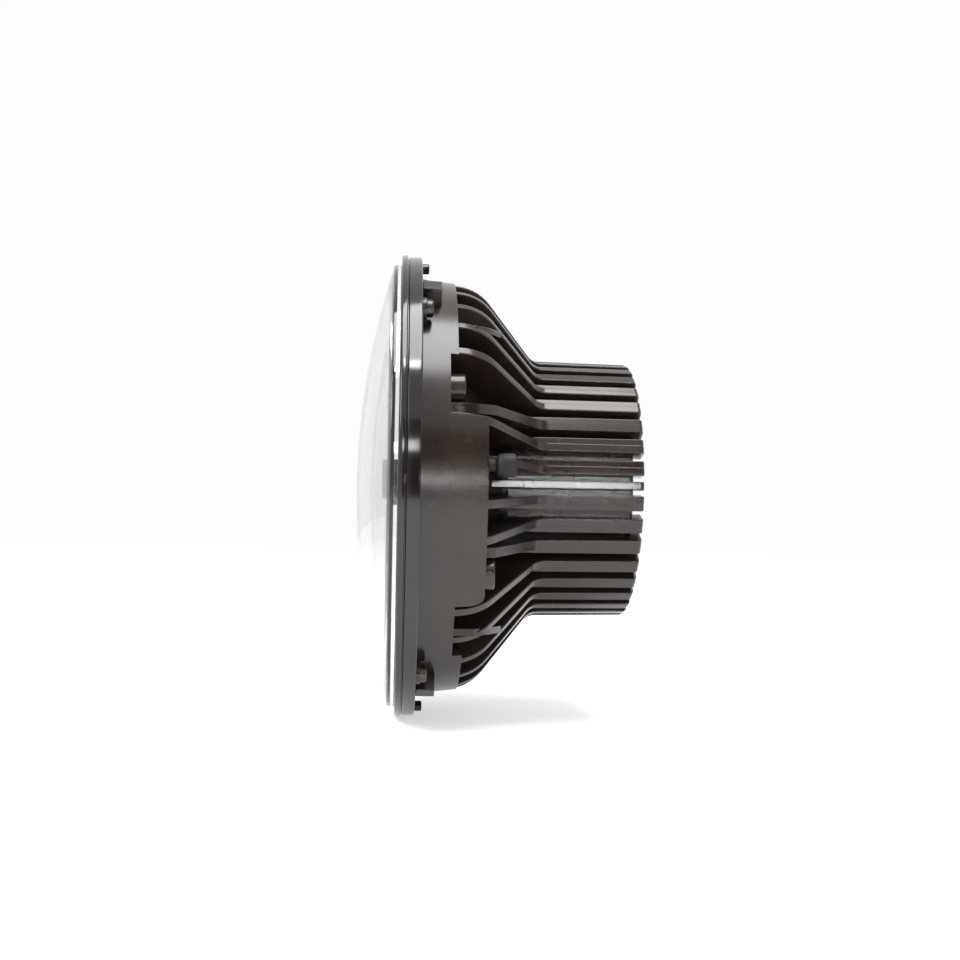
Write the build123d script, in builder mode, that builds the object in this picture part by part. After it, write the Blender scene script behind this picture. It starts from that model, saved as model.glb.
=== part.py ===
from build123d import *
import os
from math import asin, atan2, cos, degrees, hypot, radians, sin, sqrt, tan

# Round LED headlight insert, in millimetres. The lens faces -Y, the finned core points to +Y, +Z is up.
# The origin is on the lamp's axis, in the plane of the rim's rear face, which seats in the headlamp shell.
# Angles are counted about the axis from +X towards +Z. Radii are from the axis, depths are along +Y.

# Rim
rim_radius = 88.1
rim_lip_reach = 0.7
rim_lip_radius = rim_radius + rim_lip_reach
rim_thickness = 7.5
rim_lip_thickness = 2.3
rim_groove_width = 0.4
rim_groove_depth = 0.6
rim_width = 11.1
rim_inner_radius = rim_radius - rim_width
rim_edge_bevel = 0.4
post_radius = 2.0
post_height = 3.2
post_set_in = 2.7
post_pitch_radius = rim_radius - post_set_in
post_angles = (90.0, -90.0)

# Lens and its bead
lens_set_in = 3.1
lens_radius = rim_radius - lens_set_in
lens_edge = 2.8
lens_edge_bevel = 0.6
lens_rise = 13.2
lens_thickness = 3.0
tongue_set_in = 8.8
tongue_inner_radius = rim_radius - tongue_set_in
tongue_width = 2.0
tongue_length = 3.0
tongue_clearance = 0.3
bead_thickness = 1.0

# Housing: skirt with its panels and windows
skirt_set_in = 8.1
skirt_front_radius = rim_radius - skirt_set_in
skirt_taper = 0.112
skirt_wall = 4.4
skirt_inner_radius = skirt_front_radius - skirt_wall
skirt_front_wall = 3.5
skirt_bore_radius = skirt_front_radius - skirt_front_wall
skirt_depth = 12.5
panel_depth = 22.5
panel_high_angle = 16.2
panel_low_angle = -33.1
panel_corner_round = 3.2
window_high_angle = 33.5
window_floor = 9.7
lower_skirt_depth = 16.0
lower_skirt_angle = -51.0

# Housing: bowl and core
ledge_depth = 1.0
ledge_width = 2.0
ledge_radius = skirt_bore_radius - ledge_width
bowl_floor_radius = 42.0
bowl_floor_depth = 26.0
bowl_wall = 4.2
core_radius = 43.0
core_rear = 77.5
chamber_radius = 38.0
chamber_step = 41.0
driver_bay_radius = 29.0
driver_bay_rear = 72.5
outlet_radius = 5.0
outlet_hub_radius = 13.0
outlet_hub_height = 1.2

# Housing: nine wide fins to a quarter, and a narrow fin on each side in the level plane
fins_per_quarter = 9
first_fin_edge = 4.4
fin_width = 5.36
fin_radius = 49.3
fin_end_radius = 48.7
fin_rear = 80.5
fin_corner = 1.2
narrow_fin_width = 2.1

# Housing: the rib on each wide fin, which slants out to the skirt
rib_thickness = 3.0
rib_radius = 49.7
rib_end_radius = 49.05
rib_shoulder_depth = 20.5
rib_shoulder_set_in = 1.9
rib_shoulder_radius = skirt_front_radius - rib_shoulder_set_in
rib_foot_depth = 43.1
rib_shoulder_round = 18.0
rib_foot_round = 6.3
bent_rib = 2
bent_rib_height = 24.2
bent_rib_set_in = 13.0
bent_rib_reach = skirt_front_radius - bent_rib_set_in
bent_rib_thickness = 3.4
web_ribs = (4, 5)
web_thickness = 2.4
upper_web_height = 54.0
lower_web_height = 52.2

# Housing: bosses, ears and lugs
boss_radius = 5.5
boss_set_in = 9.4
boss_pitch_radius = skirt_front_radius - boss_set_in
boss_angle = 26.5
upper_boss_rear = 15.0
lower_boss_rear = 25.9
stop_radius = 3.1
stop_set_in = 7.7
stop_pitch_radius = skirt_front_radius - stop_set_in
stop_angle = -47.0
stop_rear = 16.2
boss_hole_radius = 2.1
boss_hole_depth = 8.0
ear_radius = 3.7
ear_thickness = 1.5
ear_reach = 4.0
ear_pitch_radius = skirt_front_radius + ear_reach
ear_angles = (45.5, 134.5, -53.0, -127.0)
lug_angles = (54.5, 125.5, -61.0, -119.0)
lug_width = 6.2
lug_depth = 6.8
lug_reach = 6.0
lug_radius = skirt_front_radius + lug_reach
lug_pocket_width = 2.8
lug_pocket_depth = 4.6

# Vent plug beside the near panel
plug_angle = 4.2
plug_set_in = 7.6
plug_pitch_radius = skirt_front_radius - plug_set_in
plug_head_radius = 4.1
plug_head_length = 6.4
plug_head_round = 1.2
plug_neck_radius = 2.2
plug_neck_length = 4.4
plug_stem_radius = 1.5
plug_stem_length = 5.0
plug_boss_radius = 4.5
plug_boss_rear = 21.5
plug_room = 0.7
plug_room_depth = 23.5

# Screws
rim_screw_radius = 1.5
rim_screw_length = 6.0
rim_screw_head_radius = 3.1
rim_screw_head = 2.2
screw_radius = 1.25
screw_head_radius = 2.0
screw_head = 1.6
screw_bite = 5.0
head_bevel = 0.6
socket_radius = 1.2
socket_depth = 0.9

# Gasket between rim and casting
gasket_set_out = 0.6
gasket_inner_radius = rim_inner_radius + gasket_set_out
gasket_width = 1.6
gasket_depth = 1.2

# Reflectors, split above and below the light source
split_height = 5.2
reflector_apex = 30.5
reflector_wall = 2.4
reflector_front = -1.0
reflector_flange = 2.0
reflector_clearance = 1.5
reflector_flange_radius = ledge_radius - reflector_clearance
reflector_flange_width = 5.5
reflector_screw_set_in = 2.6
reflector_screw_pitch = reflector_flange_radius - reflector_screw_set_in
reflector_screw_angles = (35.0, 90.0, 145.0)
reflector_boss_radius = 2.4

# Inner bezel and the bar across it
bezel_set_in = 0.2
bezel_foot_width = 6.3
bezel_flare = 0.5
bezel_foot_outer_radius = reflector_flange_radius - bezel_set_in
bezel_foot_radius = bezel_foot_outer_radius - bezel_foot_width
bezel_front_radius = bezel_foot_outer_radius + bezel_flare
bezel_front = -6.4
bezel_wall = 1.4
bezel_screw_room = 0.2
bar_half_height = 6.4
bar_front = -10.6
bar_thickness = 1.4

# Light source: a metal carrier with a flat tongue, a board and three chips on each side of it
carrier_thickness = 5.0
carrier_clearance = 0.5
carrier_screw_pitch = 33.5
carrier_screw_angles = (45.0, 135.0, 225.0, 315.0)
tongue_half_width = 26.0
tongue_half_height = 3.5
tongue_front = -9.0
board_thickness = 1.4
board_half_width = 22.0
board_front = -8.4
board_rear = 24.0
board_screw_spacing = 30.0
board_screw_depth = 18.0
board_screw_length = 2.0
led_size = 5.0
led_height = 0.9
led_depth = -5.5
led_spacing = 10.0

# Position light: a guide ring on a ring board with small chips
guide_clearance = 0.3
guide_width = 2.3
guide_outer_radius = skirt_bore_radius - guide_clearance
guide_inner_radius = guide_outer_radius - guide_width
guide_front = -6.2
guide_groove_width = 1.7
guide_groove_depth = 0.9
ring_board_thickness = 1.6
ring_led_count = 24
ring_led_size = 1.4
ring_led_height = 0.7

# Driver board, on three posts of the casting
driver_radius = 27.0
driver_front = 56.0
driver_thickness = 1.6
driver_post_radius = 3.0
driver_post_pitch = 22.0
driver_post_angles = (90.0, 210.0, 330.0)
capacitor_radius = 4.0
capacitor_height = 9.0
capacitor_spacing = 18.0
coil_radius = 6.5
coil_bore = 2.6
coil_height = 6.0
coil_drop = 11.0
chip_size = 7.0
chip_height = 2.4

# Grommet in the outlet
grommet_flange_radius = 9.0
grommet_flange = 2.6
grommet_bevel = 0.7
grommet_barb_radius = 5.8
grommet_barb = 3.0
grommet_bore = 2.8
press_clearance = 0.05

os.makedirs("parts", exist_ok=True)


def across(depth):
    """Plane square to the axis at a depth. Its x and y run along +X and +Z, its normal points forward."""
    return Plane.XZ.offset(-depth)


def radial(angle):
    """Plane through the axis at an angle. Its x and y are radius and depth."""
    turn = radians(angle)
    return Plane(origin=(0, 0, 0), x_dir=(cos(turn), 0, sin(turn)), z_dir=(-sin(turn), 0, cos(turn)))


def polar(radius, angle):
    """Point at a radius and an angle in a plane square to the axis."""
    return (radius * cos(radians(angle)), radius * sin(radians(angle)))


def far_side(angle):
    """The same angle on the other side of the upright plane."""
    return 180.0 - angle


def strip(start, end, thickness):
    """Rectangle of a thickness from one point to another."""
    middle = ((start[0] + end[0]) / 2, (start[1] + end[1]) / 2)
    turn = degrees(atan2(end[1] - start[1], end[0] - start[0]))
    with Locations(Location(middle, turn)):
        Rectangle(hypot(end[0] - start[0], end[1] - start[1]), thickness)


def disc(point, radius, mode=Mode.ADD):
    """Circle on a point."""
    with Locations(point):
        Circle(radius, mode=mode)


def sector(points, high, low):
    """Outline of radius and depth points, swept about the axis from a high angle to a low one."""
    with BuildPart() as swept:
        with BuildSketch(radial(high)):
            with BuildLine():
                Polyline(*points, close=True)
            make_face()
        revolve(axis=Axis.Y, revolution_arc=high - low)
    return swept.part


def save(builder, name):
    """Label a piece and write its file."""
    builder.part.label = name
    export_step(builder.part, f"parts/{name}.step")


# Places worked out from the sizes
half_fin = degrees(asin(fin_width / 2 / rib_radius))
half_rib = degrees(asin(rib_thickness / 2 / rib_radius))
fin_pitch = (180.0 - 2 * first_fin_edge - 2 * half_fin) / (2 * fins_per_quarter - 1)
rib_angles = [first_fin_edge + half_rib + fin_pitch * k for k in range(fins_per_quarter)]
bowl_slope = (bowl_floor_depth - ledge_depth) / (ledge_radius - bowl_floor_radius)
bowl_drop = bowl_wall * sqrt(1 + bowl_slope**2)


def bowl_inside(radius):
    """Depth of the bowl's inner cone at a radius."""
    return ledge_depth + (ledge_radius - radius) * bowl_slope


def bowl_outside(radius):
    """Depth of the bowl's outer cone at a radius."""
    return bowl_inside(radius) + bowl_drop


def bowl_middle(radius):
    """Depth of the middle of the bowl's wall, where all that stands on the bowl is rooted."""
    return bowl_inside(radius) + bowl_drop / 2


def skirt_radius(depth):
    """Outer radius of the tapered skirt at a depth."""
    return skirt_front_radius - skirt_taper * depth


def dome(radius, apex, ball):
    """Depth of a dome at a radius, from its apex and its ball's radius."""
    return apex + ball - sqrt(ball**2 - radius**2)


# Rim: a moulded ring with a front lip, a groove for the lens, a gasket groove and two posts
rim_front = -rim_thickness
lip_rear = rim_front + rim_lip_thickness
groove_floor = rim_front + tongue_length + bead_thickness
groove_inner_radius = tongue_inner_radius - tongue_clearance
tongue_outer_radius = tongue_inner_radius + tongue_width
groove_outer_radius = tongue_outer_radius + tongue_clearance
with BuildPart() as rim_ring:
    with BuildSketch(Plane.XY) as rim_section:
        with BuildLine():
            Polyline(
                (rim_inner_radius, 0),
                (rim_inner_radius, rim_front),
                (groove_inner_radius, rim_front),
                (groove_inner_radius, groove_floor),
                (groove_outer_radius, groove_floor),
                (groove_outer_radius, rim_front),
                (rim_lip_radius, rim_front),
                (rim_lip_radius, lip_rear),
                (rim_radius - rim_groove_depth, lip_rear),
                (rim_radius - rim_groove_depth, lip_rear + rim_groove_width),
                (rim_radius, lip_rear + rim_groove_width),
                (rim_radius, 0),
                close=True,
            )
        make_face()
        outer_corners = rim_section.vertices().filter_by(lambda v: v.X > rim_radius - rim_groove_depth / 2)
        chamfer(outer_corners.filter_by(lambda v: v.Y < -rim_edge_bevel), rim_edge_bevel)
        with Locations((gasket_inner_radius + gasket_width / 2, -gasket_depth / 2)):
            Rectangle(gasket_width, gasket_depth, mode=Mode.SUBTRACT)
    revolve(axis=Axis.Y)
    with BuildSketch(across(0)):
        for angle in post_angles:
            disc(polar(post_pitch_radius, angle), post_radius)
    extrude(amount=-post_height)
    with BuildSketch(across(0)):
        for angle in ear_angles:
            disc(polar(ear_pitch_radius, angle), rim_screw_radius)
    extrude(amount=rim_screw_length - ear_thickness, mode=Mode.SUBTRACT)
save(rim_ring, "rim_ring")

# Lens: a shallow dome with a square edge that rests on the rim, and a tongue in the rim's groove
edge_front = rim_front - lens_edge
dome_apex = edge_front - lens_rise
dome_ball = (lens_radius**2 + lens_rise**2) / (2 * lens_rise)
inner_apex = dome_apex + lens_thickness
inner_ball = dome_ball - lens_thickness
inner_edge = dome(tongue_inner_radius, inner_apex, inner_ball)
with BuildPart() as lens:
    with BuildSketch(Plane.XY) as lens_section:
        with BuildLine():
            outer_middle = dome(lens_radius / 2, dome_apex, dome_ball)
            inner_middle = dome(tongue_inner_radius / 2, inner_apex, inner_ball)
            ThreePointArc((0, dome_apex), (lens_radius / 2, outer_middle), (lens_radius, edge_front))
            Polyline(
                (lens_radius, edge_front),
                (lens_radius, rim_front),
                (tongue_outer_radius, rim_front),
                (tongue_outer_radius, rim_front + tongue_length),
                (tongue_inner_radius, rim_front + tongue_length),
                (tongue_inner_radius, inner_edge),
            )
            ThreePointArc(
                (tongue_inner_radius, inner_edge),
                (tongue_inner_radius / 2, inner_middle),
                (0, inner_apex),
            )
            Line((0, inner_apex), (0, dome_apex))
        make_face()
        outer_corner = lens_section.vertices().sort_by_distance((lens_radius, edge_front))[0]
        chamfer(outer_corner, lens_edge_bevel)
    revolve(axis=Axis.Y)
save(lens, "lens")

# Sealant bead on the groove's floor, under the lens tongue
with BuildPart() as lens_sealant:
    with BuildSketch(across(groove_floor)):
        Circle(tongue_outer_radius)
        Circle(tongue_inner_radius, mode=Mode.SUBTRACT)
    extrude(amount=bead_thickness)
save(lens_sealant, "lens_sealant")

# Gasket in the rim's rear groove, against the casting's front face
with BuildPart() as housing_gasket:
    with BuildSketch(across(0)):
        Circle(gasket_inner_radius + gasket_width)
        Circle(gasket_inner_radius, mode=Mode.SUBTRACT)
    extrude(amount=gasket_depth)
save(housing_gasket, "housing_gasket")

# Housing, one die casting. Its ribs are a star of plates, cut to the outline turned here
rib_root_radius = core_radius - rib_thickness / 2
with BuildPart() as rib_star:
    foot = polar(rib_radius, rib_angles[bent_rib])
    bend = (bent_rib_reach, bent_rib_height)
    wall_end = (sqrt(skirt_inner_radius**2 - bent_rib_height**2) + rib_thickness / 2, bent_rib_height)
    with BuildSketch(across(0)):
        for k in range(fins_per_quarter):
            root = polar(rib_root_radius, rib_angles[k])
            if k == bent_rib:
                strip(root, foot, rib_thickness)
                disc(foot, bent_rib_thickness / 2)
                strip(foot, bend, bent_rib_thickness)
                disc(bend, bent_rib_thickness / 2)
                strip(bend, wall_end, bent_rib_thickness)
            else:
                strip(root, polar(skirt_front_radius, rib_angles[k]), rib_thickness)
        mirror(about=Plane.XZ)
        outer_rib, inner_rib = (radians(rib_angles[k]) for k in web_ribs)
        upper_start = (upper_web_height / tan(inner_rib), upper_web_height)
        upper_end = (upper_web_height / tan(outer_rib), upper_web_height)
        strip(upper_start, upper_end, web_thickness)
        lower_start = (lower_web_height / tan(inner_rib), -lower_web_height)
        lower_end = (sqrt(skirt_front_radius**2 - lower_web_height**2), -lower_web_height)
        strip(lower_start, lower_end, web_thickness)
        mirror(about=Plane.YZ)
    extrude(amount=-fin_rear)
    with BuildSketch(Plane.XY) as rib_section:
        with BuildLine():
            Polyline(
                (rib_root_radius, bowl_middle(rib_root_radius)),
                (rib_shoulder_radius, bowl_middle(rib_shoulder_radius)),
                (rib_shoulder_radius, rib_shoulder_depth),
                (rib_radius, rib_foot_depth),
                (rib_end_radius, fin_rear),
                (rib_root_radius, fin_rear),
                close=True,
            )
        make_face()
        shoulder = rib_section.vertices().sort_by_distance((rib_shoulder_radius, rib_shoulder_depth))[0]
        fillet(shoulder, rib_shoulder_round)
        rib_foot = rib_section.vertices().sort_by_distance((rib_radius, rib_foot_depth))[0]
        fillet(rib_foot, rib_foot_round)
        rib_end = rib_section.vertices().sort_by_distance((rib_end_radius, fin_rear))[0]
        chamfer(rib_end, fin_corner)
    revolve(axis=Axis.Y, mode=Mode.INTERSECT)

# The lower shelf beside each rib makes the rest of the fin. The narrow fins have no rib
shelf_root_radius = core_radius - rib_thickness
with BuildPart() as fin_star:
    with BuildSketch(across(0)):
        for k in range(fins_per_quarter):
            shelf_side = (fin_width - rib_thickness / 2) / 2
            turn = rib_angles[k]
            middle = polar((shelf_root_radius + fin_rear) / 2, turn)
            side = polar(shelf_side, turn + 90)
            with Locations(Location((middle[0] + side[0], middle[1] + side[1]), turn)):
                Rectangle(fin_rear - shelf_root_radius, fin_width - rib_thickness / 2)
        mirror(about=Plane.XZ)
        strip((shelf_root_radius, 0), (fin_rear, 0), narrow_fin_width)
        mirror(about=Plane.YZ)
    extrude(amount=-fin_rear)
    with BuildSketch(Plane.XY) as fin_section:
        with BuildLine():
            Polyline(
                (shelf_root_radius, bowl_middle(shelf_root_radius)),
                (fin_radius, bowl_middle(fin_radius)),
                (fin_radius, rib_foot_depth),
                (fin_end_radius, fin_rear),
                (shelf_root_radius, fin_rear),
                close=True,
            )
        make_face()
        fin_end = fin_section.vertices().sort_by_distance((fin_end_radius, fin_rear))[0]
        chamfer(fin_end, fin_corner)
    revolve(axis=Axis.Y, mode=Mode.INTERSECT)

# Sectors taken from the skirt, which is first turned as deep as its panels
cut_inner = ledge_radius
cut_outer = rim_lip_radius
cut_rear = fin_rear


def skirt_cut(depth, high, low):
    """Sector that takes the skirt down to a depth between two angles."""
    outline = ((cut_inner, depth), (cut_outer, depth), (cut_outer, cut_rear), (cut_inner, cut_rear))
    return sector(outline, high, low)


skirt_cuts = [
    skirt_cut(skirt_depth, far_side(window_high_angle), window_high_angle),
    skirt_cut(window_floor, window_high_angle, panel_high_angle),
    skirt_cut(window_floor, far_side(panel_high_angle), far_side(window_high_angle)),
    skirt_cut(skirt_depth, panel_low_angle, lower_skirt_angle),
    skirt_cut(skirt_depth, far_side(lower_skirt_angle), far_side(panel_low_angle)),
    skirt_cut(lower_skirt_depth, lower_skirt_angle, far_side(lower_skirt_angle) - 360.0),
]

with BuildPart() as housing:
    with BuildSketch(Plane.XY):
        with BuildLine():
            Polyline(
                (skirt_front_radius, 0),
                (skirt_radius(panel_depth), panel_depth),
                (skirt_inner_radius, panel_depth),
                (skirt_inner_radius, bowl_outside(skirt_inner_radius)),
                (core_radius, bowl_outside(core_radius)),
                (core_radius, core_rear),
                (outlet_hub_radius, core_rear),
                (outlet_hub_radius, core_rear + outlet_hub_height),
                (outlet_radius, core_rear + outlet_hub_height),
                (outlet_radius, driver_bay_rear),
                (driver_bay_radius, driver_bay_rear),
                (driver_bay_radius, chamber_step),
                (chamber_radius, chamber_step),
                (chamber_radius, bowl_floor_depth),
                (bowl_floor_radius, bowl_floor_depth),
                (ledge_radius, ledge_depth),
                (skirt_bore_radius, ledge_depth),
                (skirt_bore_radius, 0),
                close=True,
            )
        make_face()
    revolve(axis=Axis.Y)
    for cut in skirt_cuts:
        add(cut, mode=Mode.SUBTRACT)
    corner_radius = (skirt_inner_radius + skirt_radius(panel_depth)) / 2
    for angle in (panel_low_angle, far_side(panel_low_angle)):
        place = polar(corner_radius, angle)
        corner = housing.edges().sort_by_distance((place[0], panel_depth, place[1]))[0]
        fillet(corner, panel_corner_round)
    # Bosses for the screws that hold the reflectors, inside the bowl
    with BuildSketch(across(reflector_front + reflector_flange)):
        for angle in reflector_screw_angles:
            disc(polar(reflector_screw_pitch, angle), reflector_boss_radius)
            disc(polar(reflector_screw_pitch, -angle), reflector_boss_radius)
    extrude(amount=-(bowl_middle(reflector_screw_pitch) - reflector_front - reflector_flange))
    # Posts for the driver board
    with BuildSketch(across(driver_front + driver_thickness)):
        for angle in driver_post_angles:
            disc(polar(driver_post_pitch, angle), driver_post_radius)
    extrude(amount=-(driver_bay_rear + outlet_hub_height - driver_front - driver_thickness))
    # Bosses on the outside of the bowl
    boss_root = bowl_middle(boss_pitch_radius)
    with BuildSketch(across(boss_root)):
        for angle in (boss_angle, far_side(boss_angle)):
            disc(polar(boss_pitch_radius, angle), boss_radius)
    extrude(amount=-(upper_boss_rear - boss_root))
    with BuildSketch(across(boss_root)):
        for angle in (-boss_angle, far_side(-boss_angle)):
            disc(polar(boss_pitch_radius, angle), boss_radius)
    extrude(amount=-(lower_boss_rear - boss_root))
    # Short stops behind the lower edge of the skirt
    stop_root = bowl_middle(stop_pitch_radius)
    with BuildSketch(across(stop_root)):
        for angle in (stop_angle, far_side(stop_angle)):
            disc(polar(stop_pitch_radius, angle), stop_radius)
    extrude(amount=-(stop_rear - stop_root))
    plug_place = polar(plug_pitch_radius, plug_angle)
    plug_root = bowl_middle(plug_pitch_radius)
    with BuildSketch(across(plug_root)):
        disc(plug_place, plug_boss_radius)
    extrude(amount=-(plug_boss_rear - plug_root))
    # Ears for the rim screws and lugs that locate the lamp
    with BuildSketch(across(0)):
        for angle in ear_angles:
            strip(polar(skirt_bore_radius, angle), polar(ear_pitch_radius, angle), 2 * ear_radius)
            disc(polar(ear_pitch_radius, angle), ear_radius)
        Circle(skirt_bore_radius + rib_thickness / 2, mode=Mode.SUBTRACT)
    extrude(amount=-ear_thickness)
    with BuildSketch(across(0)):
        for angle in lug_angles:
            strip(polar(skirt_bore_radius + rib_thickness / 2, angle), polar(lug_radius, angle), lug_width)
    extrude(amount=-lug_depth)
    with BuildSketch(across(lug_depth)):
        for angle in lug_angles:
            start = polar(skirt_front_radius + rib_thickness / 2, angle)
            strip(start, polar(lug_radius - rib_thickness / 2, angle), lug_pocket_width)
    extrude(amount=lug_pocket_depth, mode=Mode.SUBTRACT)
    add(fin_star.part)
    add(rib_star.part)
    # Room round the vent plug's head, and its bore
    with BuildSketch(across(plug_room_depth)):
        disc(plug_place, plug_head_radius + plug_room)
    extrude(amount=-(fin_rear - plug_room_depth), mode=Mode.SUBTRACT)
    with BuildSketch(across(plug_boss_rear)):
        disc(plug_place, plug_neck_radius + press_clearance)
    extrude(amount=-(plug_room_depth - plug_boss_rear), mode=Mode.SUBTRACT)
    with BuildSketch(across(plug_boss_rear)):
        disc(plug_place, plug_stem_radius)
    extrude(amount=plug_boss_rear, mode=Mode.SUBTRACT)
    # Screw holes, from the side each screw comes from
    with BuildSketch(across(0)):
        for angle in ear_angles:
            disc(polar(ear_pitch_radius, angle), rim_screw_radius)
    extrude(amount=-ear_thickness, mode=Mode.SUBTRACT)
    with BuildSketch(across(reflector_front + reflector_flange)):
        for angle in reflector_screw_angles:
            disc(polar(reflector_screw_pitch, angle), screw_radius)
            disc(polar(reflector_screw_pitch, -angle), screw_radius)
    extrude(amount=-screw_bite, mode=Mode.SUBTRACT)
    with BuildSketch(across(chamber_step)):
        for angle in carrier_screw_angles:
            disc(polar(carrier_screw_pitch, angle), screw_radius)
    extrude(amount=-screw_bite, mode=Mode.SUBTRACT)
    with BuildSketch(across(driver_front + driver_thickness)):
        for angle in driver_post_angles:
            disc(polar(driver_post_pitch, angle), screw_radius)
    extrude(amount=-screw_bite, mode=Mode.SUBTRACT)
    for angle, rear in ((boss_angle, upper_boss_rear), (-boss_angle, lower_boss_rear)):
        with BuildSketch(across(rear)):
            disc(polar(boss_pitch_radius, angle), boss_hole_radius)
            disc(polar(boss_pitch_radius, far_side(angle)), boss_hole_radius)
        extrude(amount=boss_hole_depth, mode=Mode.SUBTRACT)
save(housing, "housing")

# Rim screws, from the rear through the ears
with BuildPart() as rim_screws:
    for angle in ear_angles:
        with BuildSketch(across(ear_thickness - rim_screw_length)):
            disc(polar(ear_pitch_radius, angle), rim_screw_radius)
        extrude(amount=-rim_screw_length)
        with BuildSketch(across(ear_thickness)):
            disc(polar(ear_pitch_radius, angle), rim_screw_head_radius)
        extrude(amount=-rim_screw_head)
    head_rears = rim_screws.edges().filter_by(GeomType.CIRCLE).group_by(Axis.Y)[-1]
    chamfer(head_rears, head_bevel)
    with BuildSketch(across(ear_thickness + rim_screw_head)):
        for angle in ear_angles:
            with Locations(polar(ear_pitch_radius, angle)):
                RegularPolygon(socket_radius, 6)
    extrude(amount=socket_depth, mode=Mode.SUBTRACT)
save(rim_screws, "rim_screws")

# Vent plug: a stem in the boss, a neck and a capped head
with BuildPart() as vent_plug:
    with BuildSketch(across(plug_boss_rear)):
        disc(plug_place, plug_stem_radius - press_clearance)
    extrude(amount=plug_stem_length)
    with BuildSketch(across(plug_boss_rear)):
        disc(plug_place, plug_neck_radius)
    extrude(amount=-plug_neck_length)
    with BuildSketch(across(plug_boss_rear + plug_neck_length)):
        disc(plug_place, plug_head_radius)
    extrude(amount=-plug_head_length)
    fillet(vent_plug.edges().filter_by(GeomType.CIRCLE).group_by(Axis.Y)[-1], plug_head_round)
save(vent_plug, "vent_plug")

# Reflectors: the upper and the lower part of one paraboloid, each with half of the flange
with BuildPart() as reflector_form:
    front_radius = reflector_flange_radius - reflector_flange_width
    parabola_rise = front_radius**2 / (reflector_apex - reflector_front)
    seat = reflector_front + reflector_flange
    outer_radius = sqrt((reflector_apex + reflector_wall - seat) * parabola_rise)
    inner_bend = (front_radius / 2, reflector_apex)
    outer_bend = (outer_radius / 2, reflector_apex + reflector_wall)
    with BuildSketch(Plane.XY):
        with BuildLine():
            Bezier((0, reflector_apex), inner_bend, (front_radius, reflector_front))
            Polyline(
                (front_radius, reflector_front),
                (reflector_flange_radius, reflector_front),
                (reflector_flange_radius, seat),
                (outer_radius, seat),
            )
            Bezier((outer_radius, seat), outer_bend, (0, reflector_apex + reflector_wall))
            Line((0, reflector_apex + reflector_wall), (0, reflector_apex))
        make_face()
    revolve(axis=Axis.Y)
    with BuildSketch(across(reflector_front)):
        for angle in reflector_screw_angles:
            disc(polar(reflector_screw_pitch, angle), screw_radius)
            disc(polar(reflector_screw_pitch, -angle), screw_radius)
    extrude(amount=-reflector_flange, mode=Mode.SUBTRACT)

with BuildPart() as reflector_upper:
    add(reflector_form.part)
    split(bisect_by=Plane.XY.offset(split_height), keep=Keep.TOP)
save(reflector_upper, "reflector_upper")

with BuildPart() as reflector_lower:
    add(reflector_form.part)
    split(bisect_by=Plane.XY.offset(-split_height), keep=Keep.BOTTOM)
save(reflector_lower, "reflector_lower")

# Screws of the reflector flange
with BuildPart() as reflector_screws:
    for angle in reflector_screw_angles + tuple(-a for a in reflector_screw_angles):
        place = polar(reflector_screw_pitch, angle)
        with BuildSketch(across(reflector_front)):
            disc(place, screw_radius)
        extrude(amount=-(reflector_flange + screw_bite))
        with BuildSketch(across(reflector_front)):
            disc(place, screw_head_radius)
        extrude(amount=screw_head)
save(reflector_screws, "reflector_screws")

# Carrier: a disc on the chamber's step, with a flat tongue out to the focus
carrier_front = chamber_step - carrier_thickness
with BuildPart() as led_carrier:
    with BuildSketch(across(chamber_step)):
        Circle(chamber_radius - carrier_clearance)
    extrude(amount=carrier_thickness)
    with BuildSketch(across(carrier_front)):
        Rectangle(2 * tongue_half_width, 2 * tongue_half_height)
    extrude(amount=carrier_front - tongue_front)
    with BuildSketch(across(carrier_front)):
        for angle in carrier_screw_angles:
            disc(polar(carrier_screw_pitch, angle), screw_radius)
    extrude(amount=-carrier_thickness, mode=Mode.SUBTRACT)
    with BuildSketch(Plane.XY.offset(tongue_half_height)):
        for side in (-1, 1):
            disc((side * board_screw_spacing / 2, board_screw_depth), screw_radius)
    extrude(amount=-2 * tongue_half_height, mode=Mode.SUBTRACT)
save(led_carrier, "led_carrier")

with BuildPart() as carrier_screws:
    for angle in carrier_screw_angles:
        place = polar(carrier_screw_pitch, angle)
        with BuildSketch(across(carrier_front)):
            disc(place, screw_radius)
        extrude(amount=-(carrier_thickness + screw_bite))
        with BuildSketch(across(carrier_front)):
            disc(place, screw_head_radius)
        extrude(amount=screw_head)
save(carrier_screws, "carrier_screws")

# Boards on the tongue's upper and lower face, then their chips and screws
board_middle = (board_front + board_rear) / 2
board_face = tongue_half_height + board_thickness
with BuildPart() as led_board_upper:
    with BuildSketch(Plane.XY.offset(tongue_half_height)):
        with Locations((0, board_middle)):
            Rectangle(2 * board_half_width, board_rear - board_front)
        for side in (-1, 1):
            disc((side * board_screw_spacing / 2, board_screw_depth), screw_radius, Mode.SUBTRACT)
    extrude(amount=board_thickness)
save(led_board_upper, "led_board_upper")

with BuildPart() as led_board_lower:
    add(led_board_upper.part.mirror(Plane.XY))
save(led_board_lower, "led_board_lower")

with BuildPart() as leds_upper:
    with BuildSketch(Plane.XY.offset(board_face)):
        with Locations((-led_spacing, led_depth), (0, led_depth), (led_spacing, led_depth)):
            Rectangle(led_size, led_size)
    extrude(amount=led_height)
save(leds_upper, "leds_upper")

with BuildPart() as leds_lower:
    add(leds_upper.part.mirror(Plane.XY))
save(leds_lower, "leds_lower")

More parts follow.
